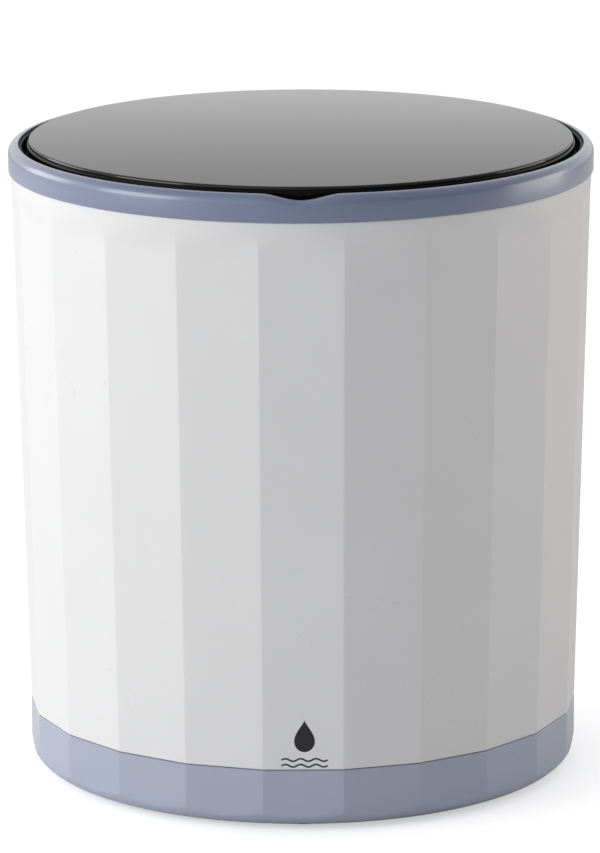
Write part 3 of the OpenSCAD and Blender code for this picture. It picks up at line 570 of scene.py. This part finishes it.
# The ring is the same blue ABS as the base tray, painted darker. This painted shade stands in for the floor
# light that brightens the base tray but not the ring.
painted_shade_ring_blue = moulded(
    "ring_blue_abs_painted_shade", (0.178, 0.218, 0.345), 0.36, grain=0.2, mottle=0.02, coat=1.0, scuffs=0.3
)
ring_profile = filleted([
    (ring_r - 2.2 * mm, joint_z, 0),
    (ring_r - 0.1 * mm, joint_z + 0.05 * mm, 0.4 * mm),
    (ring_r, ring_top, 4.1 * mm),
    (lip_r, ring_top, 0.3 * mm),
    (lip_r, joint_z + 2.4 * mm, 0),
    (ring_r - 2.2 * mm, joint_z + 2.4 * mm, 0),
], steps=8)
ring_shape = dipped(turned(ring_profile, 300, loop=True), ring_top, 6 * mm, 2.75 * mm)
piece("clamp_ring", ring_shape, "casing", painted_shade_ring_blue, ["top_ring"])

# --- Lid seat ---------------------------------------------------------------------------------
# The channel round the tub's mouth that the lid drops into, moulded in matt black plastic. It
# shows as the dark gap between the lid and the ring.
black_plastic = moulded("black_plastic", (0.006, 0.006, 0.007), 0.5, grain=0.6, shine=0.2)
seat_low, seat_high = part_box("lid_seat")
seat_floor_w, seat_wall = 12.4 * mm, 1.3 * mm
mouth_r = lip_r - seat_floor_w
seat_profile = filleted([
    (mouth_r, seat_low.z, 0),
    (seat_high.x, seat_low.z, 0),
    (seat_high.x, seat_high.z, 0.3 * mm),
    (seat_high.x - seat_wall, seat_high.z, 0.3 * mm),
    (seat_high.x - seat_wall, seat_low.z + 1.8 * mm, 0.6 * mm),
    (mouth_r, seat_low.z + 1.8 * mm, 0.5 * mm),
])
seat_shape = dipped(turned(seat_profile, 300, loop=True), seat_high.z, 5 * mm, 2.2 * mm)
piece("seat_channel", seat_shape, "casing", black_plastic, ["lid_seat"])

# --- Lid --------------------------------------------------------------------------------------
# A loose smoked lid, polished on top, with a rounded edge. Its skirt is satin black and steps out
# a little below the edge. A ribbed black liner and a soft gasket are snapped inside.
smoked, start = new_finish("smoked_gloss")
here = start.node("ShaderNodeTexCoord", out="Object")
smear = start.node(
    "ShaderNodeTexNoise", sockets={"Vector": here, "Scale": 9.0, "Detail": 4.0, "Distortion": 1.5}
)
fleck = start.node("ShaderNodeTexNoise", sockets={"Vector": here, "Scale": 1100.0, "Detail": 0.0})
dusty = fleck.between(0.80, 0.84) * smear.between(0.5, 0.62)
set_shader(smoked, {
    "Base Color": (dusty * 0.4).blend((0.012, 0.012, 0.013), (0.35, 0.35, 0.35)),
    "Roughness": 0.06 + smear.between(0.4, 0.7) * 0.04 + dusty * 0.3,
    "Normal": start.node(
        "ShaderNodeBump", sockets={"Strength": 0.05, "Distance": 0.03 * mm, "Height": smear}
    ),
    "IOR": 1.47,
})
lid_low, lid_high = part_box("lid_panel")
lid_r, lid_top = lid_high.x, lid_high.z
lid_t, skirt_t, skirt_step, edge_depth = 3 * mm, 1.9 * mm, 0.7 * mm, 1.05 * mm
lid_profile = filleted([
    (0, lid_top - lid_t, 0),
    (lid_r - skirt_t, lid_top - lid_t, 0),
    (lid_r - skirt_t, lid_top - edge_depth, 0),
    (lid_r - skirt_step, lid_top - edge_depth, 0),
    (lid_r - skirt_step, lid_top, 1.0 * mm),
    (0, lid_top, 0),
], steps=6)
skirt_profile = filleted([
    (lid_r - skirt_t, lid_top - edge_depth, 0),
    (lid_r - skirt_t, lid_low.z, 0),
    (lid_r - 0.1 * mm, lid_low.z, 0.4 * mm),
    (lid_r, lid_top - 2.3 * mm, 0.5 * mm),
    (lid_r - skirt_step, lid_top - 1.9 * mm, 0.3 * mm),
    (lid_r - skirt_step, lid_top - edge_depth, 0),
], steps=6)
satin_black = moulded("lid_skirt_black", (0.004, 0.004, 0.004), 0.3, grain=0.1, shine=0.12)
piece("smoked_lid", turned(lid_profile, 300), "lid", smoked, ["lid_panel"])
piece("lid_skirt", turned(skirt_profile, 300, loop=True), "lid", satin_black, ["lid_panel"])
dress(black_plastic, "lid_liner")
dress(grey_rubber, "lid_gasket")

# --- Wash tub and drain grille ------------------------------------------------------------------
# The tub hangs by its flange inside the casing. It is moulded in satin polypropylene, and a
# pressed stainless grille covers the drain beside the impeller.
tub_plastic = moulded("tub_polypropylene", (0.66, 0.67, 0.69), 0.38, grain=0.5, mottle=0.03, coat=0.2)
dress(tub_plastic, "wash_tub")
stainless = metal("stainless", (0.60, 0.60, 0.59), 0.25, drawn=(60, 900, 900), stain=0.1)
dress(stainless, "drain_grille", "hose_clips", "spindle")

# --- Impeller ---------------------------------------------------------------------------------
# The blue disc that stirs the wash: six curved vanes run out from a coned hub and fall to its
# rim. A screw holds it on the spindle, under a snapped-in domed cap.
impeller_low, impeller_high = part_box("impeller")
impeller_r = impeller_high.x
disc_low = impeller_low.z
hub_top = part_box("impeller_cap")[0].z + 1.8 * mm
vanes = 6
impeller_blue = moulded("impeller_blue", (0.25, 0.32, 0.50), 0.35, grain=0.4, mottle=0.04, coat=0.3)


def vane(root=14 * mm, tip=impeller_r - 1.5 * mm, bend=impeller_r * 0.62, half=1.6 * mm):
    """One vane: a rounded crest swept along an arc in plan, high at the hub, low at the rim."""
    rings = []
    for i in range(25):
        reach = root + (tip - root) * i / 24
        turn = 2 * math.asin(min(reach / (2 * bend), 1))
        middle = Vector((bend * math.sin(turn), bend - bend * math.cos(turn)))
        across = Vector((-math.sin(turn), math.cos(turn)))
        crest = 3 * mm + (14 * mm - 11 * mm * (i / 24) ** 0.8)
        section = [(-half * 1.5, 0.5 * mm), (-half * 1.1, crest * 0.6)]
        for a in steps_between(-1.4, 1.4, 6):
            section.append((half * math.sin(a), crest - half + half * math.cos(a)))
        section += [(half * 1.1, crest * 0.6), (half * 1.5, 0.5 * mm)]
        rings.append([Vector((*(middle + across * off), disc_low + up)) for off, up in section])
    return loft(rings, capped=True)


hub = filleted([
    (0, disc_low, 0),
    (impeller_r, disc_low, 0.8 * mm),
    (impeller_r, disc_low + 3 * mm, 1.4 * mm),
    (20 * mm, disc_low + 3 * mm, 6 * mm),
    (12.2 * mm, hub_top, 0.6 * mm),
    (8 * mm, hub_top, 0),
    (8 * mm, hub_top - 4.5 * mm, 0),
    (0, hub_top - 4.5 * mm, 0),
])
disc_holes = round_about(
    rod(2.2 * mm, disc_low - mm, disc_low + 4 * mm, 24), vanes, impeller_r * 0.74, math.pi / vanes
)
piece(
    "impeller_disc", turned(hub, 120), "wash_rotor", impeller_blue, ["impeller"],
    cuts=disc_holes,
)
for k in range(vanes):
    turned_vane = placed(vane(), Matrix.Rotation(2 * math.pi * k / vanes, 4, "Z"))
    piece(f"impeller_vane_{k + 1}", turned_vane, "wash_rotor", impeller_blue, ["impeller"])
dress(impeller_blue, "impeller_cap")

# --- Spindle, bearings and pulleys --------------------------------------------------------------
# The steel spindle turns in two bronze bushes in a cast housing, under a lip seal. Below it a
# ribbed belt runs from the motor's small pulley to the large spoked one, held by a nut.
housing_grey = moulded("housing_grey", (0.42, 0.43, 0.44), 0.5, grain=0.8, mottle=0.06)
bronze = metal("sintered_bronze", (0.55, 0.33, 0.16), 0.45, grain=0.6, drawn=(500, 500, 500), stain=0.4)
dress(housing_grey, "bearing_housing")
dress(bronze, "upper_bush", "lower_bush")
dress(grey_rubber, "shaft_seal", "bracket_grommets")
dress(black_plastic, "driven_pulley", "motor_pulley", "motor_end_cap")
dress(zinc, "spindle_circlip", "pulley_washer", "pulley_nut")
belt_rubber = moulded("belt_rubber", (0.02, 0.02, 0.021), 0.7, grain=1.0, mottle=0.2)
dress(belt_rubber, "drive_belt")

# --- Motor ------------------------------------------------------------------------------------
# A small brushed motor in a drawn steel can hangs on a pressed bracket. The bracket has slotted
# ends for setting the belt, and sits on rubber grommets under two posts of the tub.
can_steel = metal("can_steel", (0.58, 0.58, 0.57), 0.35, drawn=(200, 200, 20), stain=0.2)
dress(can_steel, "motor_can", "motor_bracket", "motor_shaft")
ferrite = moulded("ferrite", (0.05, 0.05, 0.055), 0.6, grain=1.0, mottle=0.15)
dress(ferrite, "motor_magnets")
copper = metal("wound_copper", (0.72, 0.36, 0.20), 0.3, drawn=(100, 100, 1500), stain=0.3)
dress(copper, "motor_armature")

# --- Control panel ----------------------------------------------------------------------------
# A blue plate clipped into the rear facet, with a power button, a mode button and a small lamp.
# The circuit board is screwed to two posts on its back.
plate_t = 1.4 * mm
plate_w, plate_h, plate_corner = 30 * mm, 62 * mm, 3.5 * mm
back_w, back_h = 26 * mm, 58 * mm
power_y, mode_y, lens_y = 12 * mm, -12 * mm, -21 * mm
power_r, mode_r, lens_hole_r = 7 * mm, 5 * mm, 1.7 * mm
panel_face = on_facet(0, panel_z)


def rounded_rect(width, height, corner, z):
    return slab(width, height, z, z + mm, corner)[0][:28]


plate_rings = [
    rounded_rect(back_w, back_h, 1 * mm, -3 * mm),
    rounded_rect(back_w, back_h, 1 * mm, 0.02 * mm),
    rounded_rect(plate_w, plate_h, plate_corner, 0.02 * mm),
]
for i in range(7):
    t = math.pi / 2 * i / 6
    back = 1.0 * mm * (1 - math.cos(t))
    plate_rings.append(rounded_rect(
        plate_w - 2 * back, plate_h - 2 * back, plate_corner - back, plate_t - mm + mm * math.sin(t)
    ))
plate_cuts = together(
    placed(rod(power_r + 0.2 * mm, -5 * mm, 5 * mm, 72), Matrix.Translation((0, power_y, 0))),
    placed(rod(mode_r + 0.2 * mm, -5 * mm, 5 * mm, 72), Matrix.Translation((0, mode_y, 0))),
    placed(rod(lens_hole_r, -5 * mm, 5 * mm, 32), Matrix.Translation((0, lens_y, 0))),
)
piece(
    "panel_plate", placed(loft(plate_rings, capped=True), panel_face), "casing", blue_abs,
    ["control_panel"], cuts=placed(plate_cuts, panel_face),
)


def button_shape(r):
    """A cap with a rounded edge and a shallow finger dish."""
    return turned(filleted([
        (0, -3 * mm, 0),
        (r, -3 * mm, 0),
        (r, 2.3 * mm, 0.5 * mm),
        (r - 1.1 * mm, 2.25 * mm, 0.3 * mm),
        (r * 0.4, 1.85 * mm, 0),
        (0, 1.8 * mm, 0),
    ]), 72)


def arc_line(radius, start, end, centre=(0, 0), count=40):
    return [
        (centre[0] + radius * math.sin(t), centre[1] + radius * math.cos(t))
        for t in steps_between(start, end, count)
    ]


button_white = moulded("button_white", (0.82, 0.82, 0.82), 0.4, grain=0.3, mottle=0.01, coat=0.2)
symbol_lift = 2.1 * mm
power_sign = together(
    stroke(arc_line(2.6 * mm, 0.6, 2 * math.pi - 0.6), 0.6 * mm, symbol_lift),
    stroke([(0, 0.6 * mm), (0, 3.2 * mm)], 0.6 * mm, symbol_lift),
)
mode_sign = together(
    stroke(arc_line(2.1 * mm, 0.5, 2.7), 0.5 * mm, symbol_lift),
    stroke(arc_line(2.1 * mm, 0.5 + math.pi, 2.7 + math.pi), 0.5 * mm, symbol_lift),
)
for name, y, r, sign in (("power", power_y, power_r, power_sign), ("mode", mode_y, mode_r, mode_sign)):
    seat = panel_face @ Matrix.Translation((0, y, 0))
    piece(
        f"{name}_cap", placed(button_shape(r), seat), f"{name}_button", button_white,
        [f"{name}_button"],
    )
    piece(f"{name}_symbol", placed(sign, seat), f"{name}_button", black_ink)
lens_green = moulded("lens_green", (0.10, 0.55, 0.22), 0.15, grain=0.05, mottle=0.1, coat=0.5)
dress(lens_green, "indicator_lens")
board_green = moulded("board_green", (0.02, 0.16, 0.07), 0.4, grain=0.6, mottle=0.2, coat=0.4)
dress(board_green, "control_board")
dress(black_plastic, "board_parts")

# --- Power socket and leads ---------------------------------------------------------------------
# A round low-voltage socket in the facet beside the panel, held from inside by a thin nut. Two
# insulated leads join it and the motor to the board.
socket_bore_r, socket_body_r, socket_flange_r = 3.2 * mm, 5.6 * mm, 7.8 * mm
socket_back, socket_bore_end, socket_face = -15 * mm, -11 * mm, 1.8 * mm
socket_shape = turned(filleted([
    (0, socket_back, 0),
    (socket_body_r, socket_back, 0),
    (socket_body_r, 0, 0),
    (socket_flange_r, 0, 0),
    (socket_flange_r, socket_face, 0.7 * mm),
    (socket_bore_r + 0.7 * mm, socket_face, 0.3 * mm),
    (socket_bore_r, socket_face - 0.7 * mm, 0),
    (socket_bore_r, socket_bore_end, 0),
    (0, socket_bore_end, 0),
]), 72)
piece(
    "socket_body", placed(socket_shape, on_facet(-1, socket_z)), "casing", black_plastic,
    ["power_socket"],
)
dress(zinc, "socket_pin", "socket_nut")
dress(moulded("red_pvc", (0.45, 0.03, 0.03), 0.45, grain=0.4, mottle=0.08), "power_lead")
dress(moulded("blue_pvc", (0.03, 0.05, 0.35), 0.45, grain=0.4, mottle=0.08), "motor_lead")

# --- Drain ------------------------------------------------------------------------------------
# A rubber elbow leads from the tub to a blue spout in the facet on the other side of the panel.
# A nut holds the spout, and a rubber plug with a grip bar closes it.
spout_bore_r, spout_tail_r, spout_flange_r, spout_flange_t = 7.5 * mm, 10.4 * mm, 15 * mm, 2.6 * mm
spout_face = on_facet(1, outlet_z)
spout_line = (
    Matrix.Rotation(2 * half_step, 4, "Z")
    @ Matrix.Translation((0, flat_r(outlet_z), outlet_z))
    @ Matrix.Rotation(-math.pi / 2, 4, "X")
)
flange = placed(turned(filleted([
    (spout_bore_r, -3 * mm, 0),
    (spout_tail_r, -3 * mm, 0),
    (spout_tail_r, 0, 0),
    (spout_flange_r, 0, 0),
    (spout_flange_r, spout_flange_t, 0.9 * mm),
    (spout_bore_r + 0.7 * mm, spout_flange_t, 0.5 * mm),
    (spout_bore_r, spout_flange_t - 0.8 * mm, 0),
]), 96, loop=True), spout_face)
tail = placed(turned(filleted([
    (spout_bore_r, -16 * mm, 0),
    (spout_tail_r, -16 * mm, 0.5 * mm),
    (spout_tail_r, -2 * mm, 0),
    (spout_bore_r, -2 * mm, 0),
]), 96, loop=True), spout_line)
piece("spout_flange", flange, "casing", blue_abs, ["drain_spout"])
piece("spout_tail", tail, "casing", blue_abs, ["drain_spout"])
nylon = moulded("nylon_nut", (0.62, 0.61, 0.58), 0.5, grain=0.5, mottle=0.04)
dress(nylon, "spout_nut")
dress(grey_rubber, "drain_hose")
plug_seat, plug_head_r, plug_head_t = 3.3 * mm, 11 * mm, 1.2 * mm
grip_w, grip_h, grip_corner, grip_rise = 20 * mm, 8 * mm, 3.9 * mm, 1.8 * mm
plug = turned(filleted([
    (0, plug_seat - 9 * mm, 0),
    (6.6 * mm, plug_seat - 9 * mm, 0.6 * mm),
    (7.2 * mm, plug_seat - 6 * mm, 0.5 * mm),
    (6.9 * mm, plug_seat - 4.5 * mm, 0.4 * mm),
    (7.2 * mm, plug_seat - 3 * mm, 0.4 * mm),
    (7.0 * mm, plug_seat, 0),
    (plug_head_r, plug_seat, 0.4 * mm),
    (plug_head_r, plug_seat + plug_head_t, 0.5 * mm),
    (0, plug_seat + plug_head_t, 0),
]), 96)
grip_rings = [rounded_rect(grip_w, grip_h, grip_corner, plug_seat + plug_head_t - 0.4 * mm)]
for i in range(9):
    t = math.pi / 2 * i / 8
    back = 1.6 * mm * (1 - math.cos(t))
    height = plug_seat + plug_head_t + grip_rise * math.sin(t)
    grip_rings.append(rounded_rect(grip_w - 2 * back, grip_h - 2 * back, grip_corner - back, height))
piece(
    "plug_body", placed(plug, spout_line), "drain_plug", grey_rubber, ["drain_plug"]
)
piece(
    "plug_grip", placed(loft(grip_rings, capped=True), spout_line), "drain_plug",
    grey_rubber, ["drain_plug"],
)
